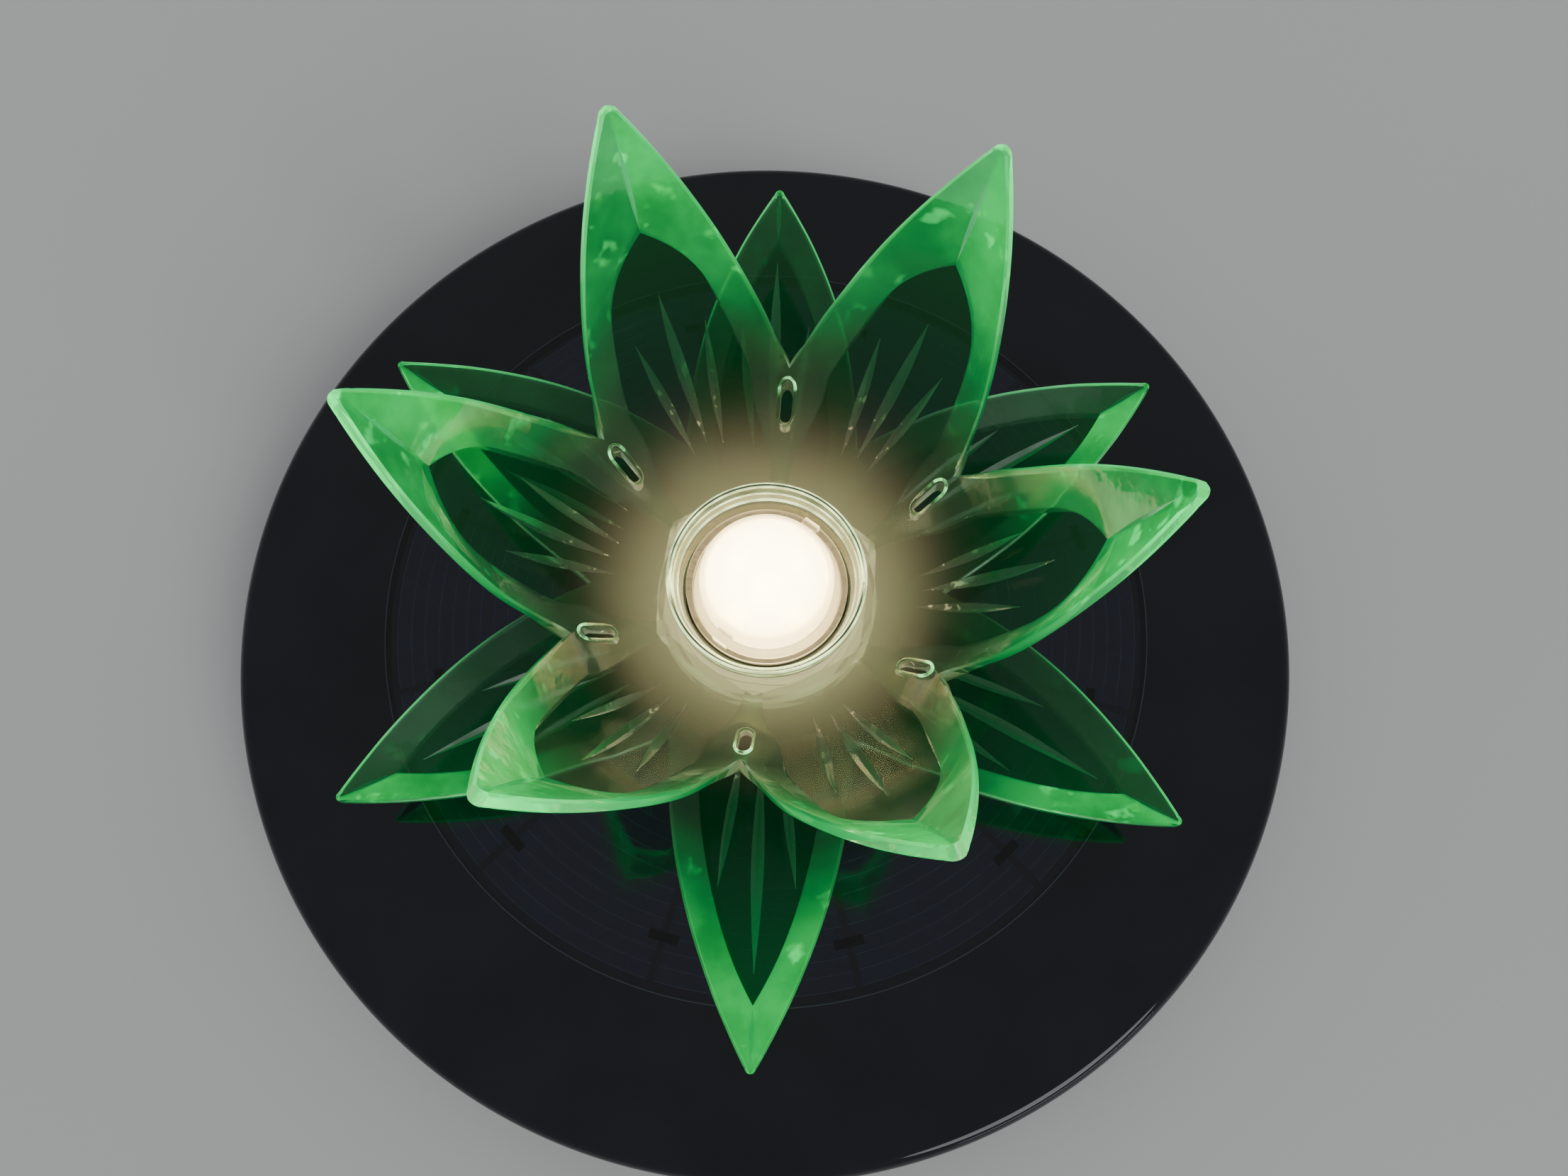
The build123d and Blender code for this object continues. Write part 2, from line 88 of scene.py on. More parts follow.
# ---- node helpers ---------------------------------------------------------------
class Shader:
    """A material whose nodes are added and joined by short calls."""

    def __init__(self, name, **sockets):
        self.material = bpy.data.materials.new(name)
        self.material.use_nodes = True
        self.tree = self.material.node_tree
        self.bsdf = self.tree.nodes["Principled BSDF"]
        for socket, value in sockets.items():
            self.set(socket, value)

    def feed(self, socket, value):
        """Gives a socket a number, a colour or another node's output."""
        if hasattr(value, "is_linked"):
            self.tree.links.new(value, socket)
        elif isinstance(value, (tuple, list)) and len(socket.default_value) == 4:
            socket.default_value = (*value[:3], 1.0)
        else:
            socket.default_value = value

    def set(self, socket, value):
        """Sets a Principled socket; an underscore in the keyword stands for a space."""
        self.feed(self.bsdf.inputs[socket.replace("_", " ")], value)

    def node(self, kind, **settings):
        """Adds a node; settings named after inputs are values or other nodes' outputs."""
        made = self.tree.nodes.new(kind)
        for key, value in settings.items():
            socket = made.inputs.get(key.replace("_", " "))
            if socket is None:
                setattr(made, key, value)
            else:
                self.feed(socket, value)
        return made

    def math(self, operation, a, b=0.0, clamp=False):
        made = self.node("ShaderNodeMath", operation=operation, use_clamp=clamp)
        self.feed(made.inputs[0], a)
        self.feed(made.inputs[1], b)
        return made.outputs[0]

    def span(self, value, low, high, to_low=0.0, to_high=1.0, eased=True):
        """Carries a value from one range to another, and holds it at the ends."""
        made = self.node("ShaderNodeMapRange", Value=value, From_Min=low, From_Max=high,
                         To_Min=to_low, To_Max=to_high)
        if eased:
            made.interpolation_type = "SMOOTHSTEP"
        return made.outputs[0]

    def near(self, value, target, reach):
        """1 where a value is within reach of a target, otherwise 0."""
        made = self.node("ShaderNodeMath", operation="COMPARE")
        for socket, number in zip(made.inputs, (value, target, reach)):
            self.feed(socket, number)
        return made.outputs[0]

    def mix(self, factor, a, b):
        """A colour between a and b."""
        made = self.node("ShaderNodeMix", data_type="RGBA")
        for index, value in ((0, factor), (6, a), (7, b)):
            self.feed(made.inputs[index], value)
        return made.outputs[2]

    def ramp(self, factor, *stops):
        """A colour ramp from (position, colour or grey) stops."""
        made = self.node("ShaderNodeValToRGB", Fac=factor)
        elements = made.color_ramp.elements
        while len(elements) < len(stops):
            elements.new(0.5)
        for element, (position, colour) in zip(elements, stops):
            element.position = position
            shade = colour if isinstance(colour, tuple) else (colour,) * 3
            element.color = (*shade, 1.0)
        return made.outputs[0]

    def place(self, stretch=None):
        """The point on the piece, in metres, in the piece's own frame."""
        place = self.node("ShaderNodeTexCoord").outputs["Object"]
        if stretch is None:
            return place
        return self.node("ShaderNodeMapping", Vector=place, Scale=stretch).outputs[0]

    def axis(self, letter):
        """One coordinate of the point on the piece."""
        return self.node("ShaderNodeSeparateXYZ", Vector=self.place()).outputs[letter]

    def radius(self, x=0.0, y=0.0):
        """Distance from an upright axis."""
        across = self.math("POWER", self.math("SUBTRACT", self.axis("X"), x), 2.0)
        along = self.math("POWER", self.math("SUBTRACT", self.axis("Y"), y), 2.0)
        return self.math("SQRT", self.math("ADD", across, along))

    def noise(self, scale, detail=3.0, roughness=0.5, stretch=None):
        made = self.node("ShaderNodeTexNoise", Vector=self.place(stretch), Scale=scale, Detail=detail,
                         Roughness=roughness)
        return made.outputs["Fac"]

    def bump(self, height, strength, distance, rounding=0.0):
        """Feeds a height into the shader's normal, and softens edges by a rounding radius."""
        made = self.node("ShaderNodeBump", Strength=strength, Distance=distance, Height=height)
        if rounding:
            softened = self.node("ShaderNodeBevel", Radius=rounding)
            self.feed(made.inputs["Normal"], softened.outputs[0])
        self.set("Normal", made.outputs[0])


def tinted(colour, factor):
    """A colour made lighter or darker."""
    return tuple(min(channel * factor, 1.0) for channel in colour)


def finish_piece(piece, body, *replaced):
    """Declares which body a piece rides on and which CAD nodes it stands for."""
    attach(piece, body)
    if replaced:
        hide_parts(*replaced)


def link(name, mesh, *materials):
    """A new object that shows a mesh."""
    for material in materials:
        mesh.materials.append(material)
    piece = bpy.data.objects.new(name, mesh)
    bpy.context.scene.collection.objects.link(piece)
    return piece


def dress(node, *materials):
    """Gives a carried-over CAD node its finished material."""
    slots = nodes[node].data.materials
    slots.clear()
    for material in materials:
        slots.append(material)


# ---- turned pieces --------------------------------------------------------------
def arc(centre, radius, start, end, steps=8):
    """Points of a circular arc in a section of radius and height; angles are in degrees."""
    angles = [math.radians(start + (end - start) * k / steps) for k in range(steps + 1)]
    return [(centre[0] + radius * math.cos(a), centre[1] + radius * math.sin(a)) for a in angles]


def lathe(name, section, material, steps=288):
    """A closed section in millimetres, turned about the light's upright axis."""
    made = bmesh.new()
    rings = []
    for k in range(steps):
        a = 2 * math.pi * k / steps
        ring = [(r * MM * math.cos(a), r * MM * math.sin(a), z * MM) for r, z in section]
        rings.append([made.verts.new(p) for p in ring])
    for a, b in zip(rings, rings[1:] + rings[:1]):
        for j in range(len(section)):
            n = (j + 1) % len(section)
            made.faces.new((a[j], a[n], b[n], b[j]))
    bmesh.ops.recalc_face_normals(made, faces=made.faces)
    mesh = bpy.data.meshes.new(name)
    made.to_mesh(mesh)
    made.free()
    mesh.shade_smooth()
    mesh.set_sharp_from_angle(angle=math.radians(30))
    return link(name, mesh, material)


# ---- petal tiers ----------------------------------------------------------------
PETALS = 6
HALF_WEDGE = math.pi / PETALS
PANEL, BAND, RIM, ROOT, GROOVE = range(5)
TINY = 1e-9
WIDENING = 0.72  # share of the corner's length where the band starts to widen
WIDEN_POWER = 2.5
ROOT_BAND = 0.3  # share of the band's width that is left at the root


class Rail:
    """A smooth curve of radius and height through a few points, measured along its length."""

    def __init__(self, points):
        knots = np.array(points, float) * MM
        padded = np.vstack([2 * knots[0] - knots[1], knots, 2 * knots[-1] - knots[-2]])
        dense = []
        for a, b, c, d in zip(padded, padded[1:], padded[2:], padded[3:]):
            for u in np.linspace(0, 1, 40, endpoint=False):
                dense.append(0.5 * (2 * b + (c - a) * u + (2 * a - 5 * b + 4 * c - d) * u**2
                                    + (3 * b - a - 3 * c + d) * u**3))
        dense.append(knots[-1])
        self.dense = np.array(dense)
        steps = np.hypot(*np.diff(self.dense, axis=0).T)
        self.reach = np.concatenate([[0], np.cumsum(steps)])
        self.length = self.reach[-1]

    def at(self, s):
        """Radius, height and unit tangent at a length along the rail."""
        here = [np.interp(s, self.reach, self.dense[:, k]) for k in (0, 1)]
        step = 0.4 * MM
        ahead = [np.interp(s + step, self.reach, self.dense[:, k]) for k in (0, 1)]
        behind = [np.interp(s - step, self.reach, self.dense[:, k]) for k in (0, 1)]
        slope = np.subtract(ahead, behind)
        return (*here, *(slope / np.hypot(*slope)))


def smooth(x):
    """Eases from 0 to 1."""
    x = min(max(x, 0.0), 1.0)
    return x * x * (3 - 2 * x)


class Tier:
    """The shape of one moulding of six petals."""

    def __init__(self, node, yaw, rail, crown, notch, corner, fullness, tip_round, band, rise,
                 panel_wall, edge_wall, grooves):
        self.node = node
        self.yaw = math.radians(yaw)
        self.rail = Rail(rail)
        self.crown = crown * MM
        self.notch = notch * MM
        self.corner = corner * MM
        self.fullness = fullness
        self.tip_round = tip_round * MM
        self.band = band * MM
        self.rise = rise * MM
        self.panel_wall = panel_wall * MM
        self.edge_wall = edge_wall * MM
        self.grooves = grooves
        self.spread_run = 8 * MM
        self.tip = self.rail.length
        self.notch_half = self.wedge_half(self.notch)
        self.apex = self.tip + self.tip_round * 0.9
        self.corner_half = self.half(self.corner)

    def fade(self, s):
        """How much of the band's rise is there: none at the root, all from the notch outward."""
        return smooth(s / self.notch)

    def wedge_half(self, s, below=0.0):
        """Half width where a petal meets its neighbour's sixty degrees, at a depth below its inner face."""
        r, _, _, climb = self.rail.at(s)
        half = r * math.tan(HALF_WEDGE)
        for _ in range(30):
            lift = half**2 / (2 * self.crown) + self.rise * self.fade(s) - below
            half = (r - climb * lift) * math.tan(HALF_WEDGE)
        return half

    def back_spread(self, s):
        """How much wider the outer face is than the inner one, so that neighbours meet behind too."""
        root = min(s, self.notch)
        wider = self.wedge_half(root, self.edge_wall) / self.wedge_half(root) - 1
        return 1 + wider * (1 - smooth((s - self.notch) / self.spread_run))

    def half(self, s):
        """Half width of the petal: shared with its neighbour up to the notch, then free."""
        if s <= self.notch:
            return self.wedge_half(s)
        t = (s - self.notch) / (self.apex - self.notch)
        side = self.notch_half * (1 - t) * (1 + self.fullness * t)
        from_tip = self.tip - s
        if from_tip < self.tip_round:
            cap = math.sqrt(max(self.tip_round**2 - (self.tip_round - from_tip)**2, 0))
            return min(side, cap)
        return side

    def panel(self, s):
        """Half width of the clear panel inside the bevelled band."""
        if s >= self.corner:
            return 0.0
        half = self.half(s)
        widening = WIDENING * self.corner
        band = self.band
        if s > widening:
            share = (s - widening) / (self.corner - widening)
            band += (self.corner_half - self.band) * share**WIDEN_POWER
        if s < self.notch:
            band *= ROOT_BAND + (1 - ROOT_BAND) * self.fade(s)
        return max(half - band, 0.0)

    def mitre(self, s):
        """How far up the band's rise the middle of the petal stands: only past the panel's corner."""
        return max(0.0, (s - self.corner) / (self.tip - self.corner))

    def point(self, s, t, lift):
        """A point of the petal that points along +X."""
        r, z, out, climb = self.rail.at(s)
        lift = lift + t * t / (2 * self.crown)
        return r - climb * lift, t, z + out * lift + DECK_TOP

    def stations(self):
        """Lengths along the petal where it has a row of points."""
        root = list(np.linspace(0, self.notch, 10, endpoint=False))
        turn = np.sin(np.linspace(0, 1, 52) * math.pi / 2)
        free = [s for s in self.notch + (self.tip - self.notch) * turn if abs(s - self.corner) > 0.3 * MM]
        return root + sorted(free + [self.corner])


PANEL_STEPS = 7
BAND_STEPS = 4
EDGE_CUT = 0.35 * MM


def petal_rings(tier):
    """Closed rings of points round one petal, row by row, with each column's kind."""
    rings = []
    for s in tier.stations():
        half, panel = tier.half(s), tier.panel(s)
        free = s > tier.notch + TINY
        cut = min(EDGE_CUT, 0.3 * half) * smooth((s - tier.notch) / (2 * MM)) if free else 0.0
        rise, start = tier.rise * tier.fade(s), tier.mitre(s)
        inner = [(panel * k / PANEL_STEPS, start) for k in range(PANEL_STEPS + 1)]
        outer = [(panel + (half - cut - panel) * k / BAND_STEPS, start + (1 - start) * k / BAND_STEPS)
                 for k in range(1, BAND_STEPS + 1)]
        right = inner + outer
        row = [(-t, f) for t, f in reversed(right)] + right[1:]
        front = [tier.point(s, t, rise * f) for t, f in row]
        spread, fold = tier.back_spread(s), rise + tier.panel_wall - tier.edge_wall
        back = [tier.point(s, t * spread, fold * f - tier.panel_wall) for t, f in row]
        walls = []
        for side in (1, -1):
            top = tier.point(s, side * half, rise - cut)
            low = tier.point(s, side * half * spread, rise - tier.edge_wall + cut)
            walls.append((top, low))
        (right_top, right_low), (left_top, left_low) = walls
        rings.append((s, front + [right_top, right_low] + back[::-1] + [left_low, left_top]))
    return rings


def column_kinds():
    """The material of each strip of faces between neighbouring columns of a ring."""
    side = [BAND] * BAND_STEPS + [PANEL] * (2 * PANEL_STEPS) + [BAND] * BAND_STEPS
    return side + [RIM, RIM, RIM] + side + [RIM, RIM, RIM]


COLLAR_BORE = 15.36 * MM
COLLARS = {
    "lower_petals": {"radius": 19.0 * MM, "bottom": DECK_TOP + 1.9 * MM, "top": DECK_TOP + 5.4 * MM},
    "upper_petals": {"radius": 18.8 * MM, "bottom": DECK_TOP + 5.9 * MM, "top": DECK_TOP + 12.2 * MM},
}


def collar_rings(tier, first_ring):
    """The two rings that carry a petal's root down to the collar and close it."""
    count = 2 * (PANEL_STEPS + BAND_STEPS) + 1
    angles = [math.atan2(y, x) for x, y, _ in first_ring[:count]]
    collar = COLLARS[tier.node]

    def edge(radius, height):
        return [(radius * math.cos(a), radius * math.sin(a), height) for a in angles]

    def ring(front, back):
        return front + [front[-1], back[-1]] + back[::-1] + [back[0], front[0]]

    inside = edge(COLLAR_BORE, collar["bottom"])
    shut = ring(inside, inside)
    foot = ring(edge(COLLAR_BORE, collar["top"]), edge(collar["radius"], collar["bottom"]))
    return [shut, foot]


WELD = 0.004 * MM  # points closer than this become one


def tier_mesh(tier):
    """All six petals of a tier as one closed mesh."""
    rings = petal_rings(tier)
    rows = collar_rings(tier, rings[0][1]) + [ring for _, ring in rings]
    reach = [-1, -1] + [s for s, _ in rings]
    kinds = column_kinds()
    made = bmesh.new()
    for k in range(PETALS):
        turn = Matrix.Rotation(tier.yaw + k * 2 * HALF_WEDGE, 4, "Z")
        points = [[made.verts.new(turn @ Vector(p)) for p in row] for row in rows]
        for (low, a), (high, b) in zip(zip(reach, points), zip(reach[1:], points[1:])):
            for j, kind in enumerate(kinds):
                if kind == RIM and high <= tier.notch + TINY:
                    continue
                n = (j + 1) % len(a)
                face = made.faces.new((a[j], a[n], b[n], b[j]))
                face.material_index = ROOT if low < 0 else kind
                face.smooth = True
    bmesh.ops.remove_doubles(made, verts=made.verts, dist=WELD)
    bmesh.ops.dissolve_degenerate(made, edges=made.edges, dist=WELD / 2)
    bmesh.ops.recalc_face_normals(made, faces=made.faces)
    mesh = bpy.data.meshes.new(tier.node + "_look")
    made.to_mesh(mesh)
    made.free()
    return mesh


EYELET_R = 28.3 * MM
SLOT_HALF = 1.0 * MM
SLOT_REACH = 1.2 * MM
SLOT_LOW, SLOT_HIGH = DECK_TOP + 15 * MM, DECK_TOP + 29 * MM


def obround(out, half, reach, steps=28):
    """Points round a slot that lies along the radius, and the way each faces."""
    points = []
    for k in range(steps):
        a = 2 * math.pi * (k + 0.5) / steps
        shift = math.copysign(reach, math.cos(a))
        points.append((out + half * math.cos(a) + shift, half * math.sin(a), math.cos(a), math.sin(a)))
    return points


def add_slots(made, tier):
    """Upright slots where neighbouring petals part."""
    for k in range(PETALS):
        turn = Matrix.Rotation(tier.yaw + (2 * k + 1) * HALF_WEDGE, 4, "Z")
        outline = obround(EYELET_R, SLOT_HALF, SLOT_REACH)
        low, high = ([made.verts.new(turn @ Vector((x, y, z))) for x, y, _, _ in outline]
                     for z in (SLOT_LOW, SLOT_HIGH))
        for j in range(len(outline)):
            n = (j + 1) % len(outline)
            made.faces.new((low[j], low[n], high[n], high[j]))
        made.faces.new(low[::-1])
        made.faces.new(high)


GROOVE_ABOVE = 0.25 * MM  # how far a cutter stands out of the petal's face


def groove_cutters(tier):
    """Slim lens-shaped wedges that cut the veins into every petal's inner face."""
    made = bmesh.new()
    for start, end, lean_start, lean_end, width, depth in tier.grooves:
        for k in range(PETALS):
            turn = Matrix.Rotation(tier.yaw + k * 2 * HALF_WEDGE, 4, "Z")
            rings = []
            for u in np.linspace(0, 1, 25):
                s = (start + (end - start) * u) * MM
                t = (lean_start + (lean_end - lean_start) * u) * MM
                swell = math.sin(math.pi * min(max(u, 0.02), 0.98))
                deep = depth * MM * swell
                level = tier.rise * tier.mitre(s)
                spread = width * MM * swell * (deep + GROOVE_ABOVE) / deep
                above = level + GROOVE_ABOVE
                ring = [tier.point(s, t - spread, above), tier.point(s, t + spread, above),
                        tier.point(s, t, level - deep)]
                rings.append([made.verts.new(turn @ Vector(p)) for p in ring])
            for a, b in zip(rings, rings[1:]):
                for j in range(3):
                    n = (j + 1) % 3
                    made.faces.new((a[j], a[n], b[n], b[j]))
            made.faces.new(rings[0][::-1])
            made.faces.new(rings[-1])
    if tier.node == "upper_petals":
        add_slots(made, tier)
    for face in made.faces:
        face.material_index = GROOVE
    bmesh.ops.recalc_face_normals(made, faces=made.faces)
    mesh = bpy.data.meshes.new(tier.node + "_grooves")
    made.to_mesh(mesh)
    made.free()
    return mesh


def cut(piece, cutter):
    """Takes the cutter away from the piece and deletes it."""
    modifier = piece.modifiers.new("cut", "BOOLEAN")
    modifier.operation = "DIFFERENCE"
    modifier.solver = "MANIFOLD"
    modifier.object = cutter
    bpy.context.view_layer.update()
    shown = piece.evaluated_get(bpy.context.evaluated_depsgraph_get())
    mesh = bpy.data.meshes.new_from_object(shown)
    piece.modifiers.clear()
    old = piece.data
    piece.data = mesh
    bpy.data.meshes.remove(old)
    bpy.data.objects.remove(cutter)


# each groove: start and end along the petal, lean at each, half width, depth; millimetres
UPPER = Tier(
    "upper_petals", yaw=-4.83,
    rail=[(16.6, 11.2), (24, 17), (32, 25.2), (36.8, 31.2), (41, 37.3), (46.2, 48), (50.8, 57.8),
          (54.9, 67.2)],
    crown=65, notch=20, corner=48.6, fullness=0.8, tip_round=1.9, band=5.3, rise=3.3,
    panel_wall=2.3, edge_wall=2.0,
    grooves=[(11, 37.5, 0, 0, 0.95, 0.7), (10, 31, 2.6, 5.9, 0.8, 0.6), (10, 31, -2.6, -5.9, 0.8, 0.6),
             (49.2, 65, 0, 0, 0.3, 0.45)],
)
LOWER = Tier(
    "lower_petals", yaw=-90,
    rail=[(17, 3.4), (30, 8.2), (45, 11.2), (60, 12.6), (68, 12.9), (75, 13.0)],
    crown=60, notch=10.5, corner=50, fullness=1.0, tip_round=0.9, band=4.6, rise=2.2,
    panel_wall=2.2, edge_wall=1.7,
    grooves=[(12, 45.5, 0, 0, 1.0, 0.75), (11, 33, 3.2, 6.0, 0.8, 0.6), (11, 33, -3.2, -6.0, 0.8, 0.6),
             (50.6, 58, 0, 0, 0.3, 0.45)],
)


# ---- general materials ----------------------------------------------------------
def moulded(name, colour, roughness, grain=0.5, scuffs=0.3):
    """Injection-moulded plastic: eroded grain, uneven sheen, fine scuffs and soft edges."""
    made = Shader(name, IOR=1.5)
    tone = made.ramp(made.noise(55, 4), (0.35, tinted(colour, 0.82)), (0.68, tinted(colour, 1.2)))
    scratch = made.ramp(made.noise(700, 2, 0.6, (1, 14, 1)), (0.66, 0.0), (0.72, 1.0))
    rubbed = made.math("MULTIPLY", scratch, made.span(made.noise(45, 2), 0.45, 0.7, 0, scuffs))
    made.set("Base_Color", made.mix(rubbed, tone, tinted(colour, 2.6)))
    sheen = made.span(made.noise(120, 4), 0.3, 0.7, roughness * 0.8, min(roughness * 1.25, 1.0))
    made.set("Roughness", made.math("ADD", sheen, made.math("MULTIPLY", rubbed, 0.2), clamp=True))
    made.bump(made.noise(5200, 2, 0.7), grain, 0.02 * MM, 0.25 * MM)
    return made


def metal(name, colour, roughness, stretch=(1, 1, 18)):
    """Drawn or turned metal with fine marks one way and a little tarnish."""
    made = Shader(name, Metallic=1.0)
    made.set("Base_Color", made.ramp(made.noise(180, 5, 0.6), (0.3, tinted(colour, 0.75)), (0.65, colour)))
    marks = made.noise(2600, 3, 0.6, stretch)
    made.set("Roughness", made.span(marks, 0.3, 0.7, roughness * 0.7, roughness * 1.4))
    made.bump(marks, 0.25, 0.02 * MM, 0.12 * MM)
    return made


def rubber(name, colour):
    """Soft silicone: matt, faintly dusty, with a fine skin."""
    made = Shader(name, Specular_IOR_Level=0.35, Sheen_Weight=0.15)
    made.set("Base_Color", made.ramp(made.noise(240, 5, 0.65), (0.35, colour), (0.72, tinted(colour, 1.9))))
    made.set("Roughness", made.span(made.noise(400, 3), 0.3, 0.7, 0.62, 0.85))
    made.bump(made.noise(3600, 3, 0.7), 0.35, 0.03 * MM, 0.2 * MM)
    return made


def clear_plastic(name, tint, roughness=0.03, ior=1.49, clarity=1.0):
    """Polished clear acrylic with faint flow marks from the mould."""
    made = Shader(name, Base_Color=tint, Transmission_Weight=clarity, IOR=ior, Specular_IOR_Level=0.2)
    made.set("Roughness", made.span(made.noise(90, 4), 0.3, 0.7, roughness * 0.5, roughness * 2))
    made.bump(made.noise(150, 2), 0.06, 0.5 * MM)
    return made


# ---- petal materials ------------------------------------------------------------
# painted glow: emission colours for green light in the petals and a warm painted haze round the lamp
PAINTED_GREEN = (0.0, 0.8, 0.15)
PAINTED_WARM = (1.0, 0.8, 0.42)
# where the painted glow runs from none to full on each tier: by height on the upper, by radius on the lower
PAINTED_GLOW = {
    "upper_petals": {"start": DECK_TOP + 24 * MM, "end": DECK_TOP + 60 * MM, "rises": True},
    "lower_petals": {"start": 38 * MM, "end": 66 * MM, "rises": False},
}


def painted_lit_part(made, tier_node):
    """How much painted green glow the petal gets here: most at the tip, and uneven between its two sides as
    painted one-sided light fixed to the tier.
    """
    look = PAINTED_GLOW[tier_node]
    reach = made.axis("Z") if look["rises"] else made.radius()
    lit = made.span(reach, look["start"], look["end"])
    normal = made.node("ShaderNodeSeparateXYZ", Vector=made.node("ShaderNodeTexCoord").outputs["Normal"])
    # painted light and shade: bevels that face one way in the tier's own frame glow brighter, the other side
    # stays darker
    if look["rises"]:
        turned = made.math("SUBTRACT", made.math("MULTIPLY", normal.outputs["Y"], made.axis("X")),
                           made.math("MULTIPLY", normal.outputs["X"], made.axis("Y")))
        lean = made.math("MULTIPLY", made.math("DIVIDE", turned, made.radius()),
                         made.math("SIGN", normal.outputs["Z"]))
        side = made.span(lean, -0.25, 0.25, 0.62, 1.0)
    else:
        lean = made.math("DIVIDE", normal.outputs["Y"], normal.outputs["Z"])
        side = made.span(lean, -0.2, 0.12, 0.06, 1.0)
    return made.math("MULTIPLY", lit, side)


def paint_petal_glow(made, tier_node, tip, root, mottle=0.0, painted_sparkle=0.0):
    """Paints a glow onto a petal as emission, though the petal is no lamp: green towards the tip with painted
    glints, and a warm painted haze round the lamp.
    """
    glow = made.math("MULTIPLY", painted_lit_part(made, tier_node), tip)
    # painted glints: noise patches and bright points that vary the painted glow
    if mottle:
        patches = made.span(made.noise(85, 4, 0.62), 0.32, 0.66, 1 - mottle, 1.0)
        glints = made.ramp(made.noise(230, 2, 0.5), (0.64, 0.0), (0.73, 1.6))
        glow = made.math("MULTIPLY", glow, made.math("ADD", patches, glints))
    # painted haze: warm emission near the lamp that stands in for its glare
    haze = made.span(made.radius(), 14 * MM, 32 * MM, 1.0, 0.0)
    painted_warmth = made.span(made.radius(), 26 * MM, 36 * MM, 1.0, 0.0)
    made.set("Emission_Color", made.mix(painted_warmth, PAINTED_GREEN, PAINTED_WARM))
    # a faint painted glow over the whole petal
    base = made.math("ADD", 0.012 + 0.03 * painted_sparkle, made.math("MULTIPLY", haze, root))
    # painted glints: bright emission points near the root
    if painted_sparkle:
        points = made.ramp(made.noise(620, 2, 0.5), (0.62, 0.0), (0.7, 1.0))
        inner = made.span(made.radius(), 20 * MM, 36 * MM, painted_sparkle, 0.0)
        base = made.math("ADD", base, made.math("MULTIPLY", points, inner))
    made.set("Emission_Strength", made.math("ADD", glow, base))


def petal_materials(tier_node, tip):
    """Finishes for the panel, band, rim, root and grooves of a tier, in that order, each with a painted glow.
    """
    panel = clear_plastic(tier_node + "_panel", (0.5, 0.64, 0.54), 0.08, ior=1.06)
    paint_petal_glow(panel, tier_node, 0.02, 0.13)
    band = clear_plastic(tier_node + "_band", (1, 1, 1), 0.08, ior=1.14, clarity=0.93)
    # painted light in the base colour: the band is greener where the painted glow falls
    band.set("Base_Color", band.mix(painted_lit_part(band, tier_node), (0.3, 0.45, 0.34), (0.005, 0.4, 0.09)))
    band.bump(band.noise(160, 3, 0.6), 0.22, 0.6 * MM)
    paint_petal_glow(band, tier_node, tip, 0.13, mottle=0.55)
    rim = clear_plastic(tier_node + "_rim", (0.5, 0.9, 0.6), 0.08)
    paint_petal_glow(rim, tier_node, 1.5 * tip, 0.15)
    root = clear_plastic(tier_node + "_root", (0.6, 0.7, 0.6), 0.12, ior=1.2)
    paint_petal_glow(root, tier_node, 0.0, 0.2)
    groove = clear_plastic(tier_node + "_groove", (0.72, 0.9, 0.78), 0.22)
    paint_petal_glow(groove, tier_node, 0.1, 0.12, painted_sparkle=1.0)
    return [made.material for made in (panel, band, rim, root, groove)]


def make_tiers():
    """Both tiers of petals, each cut and riding on its own body."""
    bodies = {"upper_petals": "upper_tier", "lower_petals": "lower_tier"}
    for tier, tip in ((UPPER, 0.56), (LOWER, 0.5)):
        materials = petal_materials(tier.node, tip)
        piece = link(tier.node + "_look", tier_mesh(tier), *materials)
        cut(piece, link(tier.node + "_cutter", groove_cutters(tier), *materials))
        piece.data.shade_smooth()
        piece.data.set_sharp_from_angle(angle=math.radians(24))
        finish_piece(piece, bodies[tier.node], tier.node)


# ---- eyelets --------------------------------------------------------------------
BEAD_HALF = 1.3 * MM
BEAD_WIRE = 0.26 * MM


def valley(tier, out):
    """Height and slope of the crease between two petals, at a distance from the axis."""
    line = [tier.point(s, tier.half(s), tier.rise * tier.fade(s)) for s in np.linspace(0, tier.notch, 60)]
    radii = [math.hypot(x, y) for x, y, _ in line]
    heights = [z for _, _, z in line]
    step = 0.5 * MM
    low, here, high = (np.interp(r, radii, heights) for r in (out - step, out, out + step))
    return here, (high - low) / (2 * step)


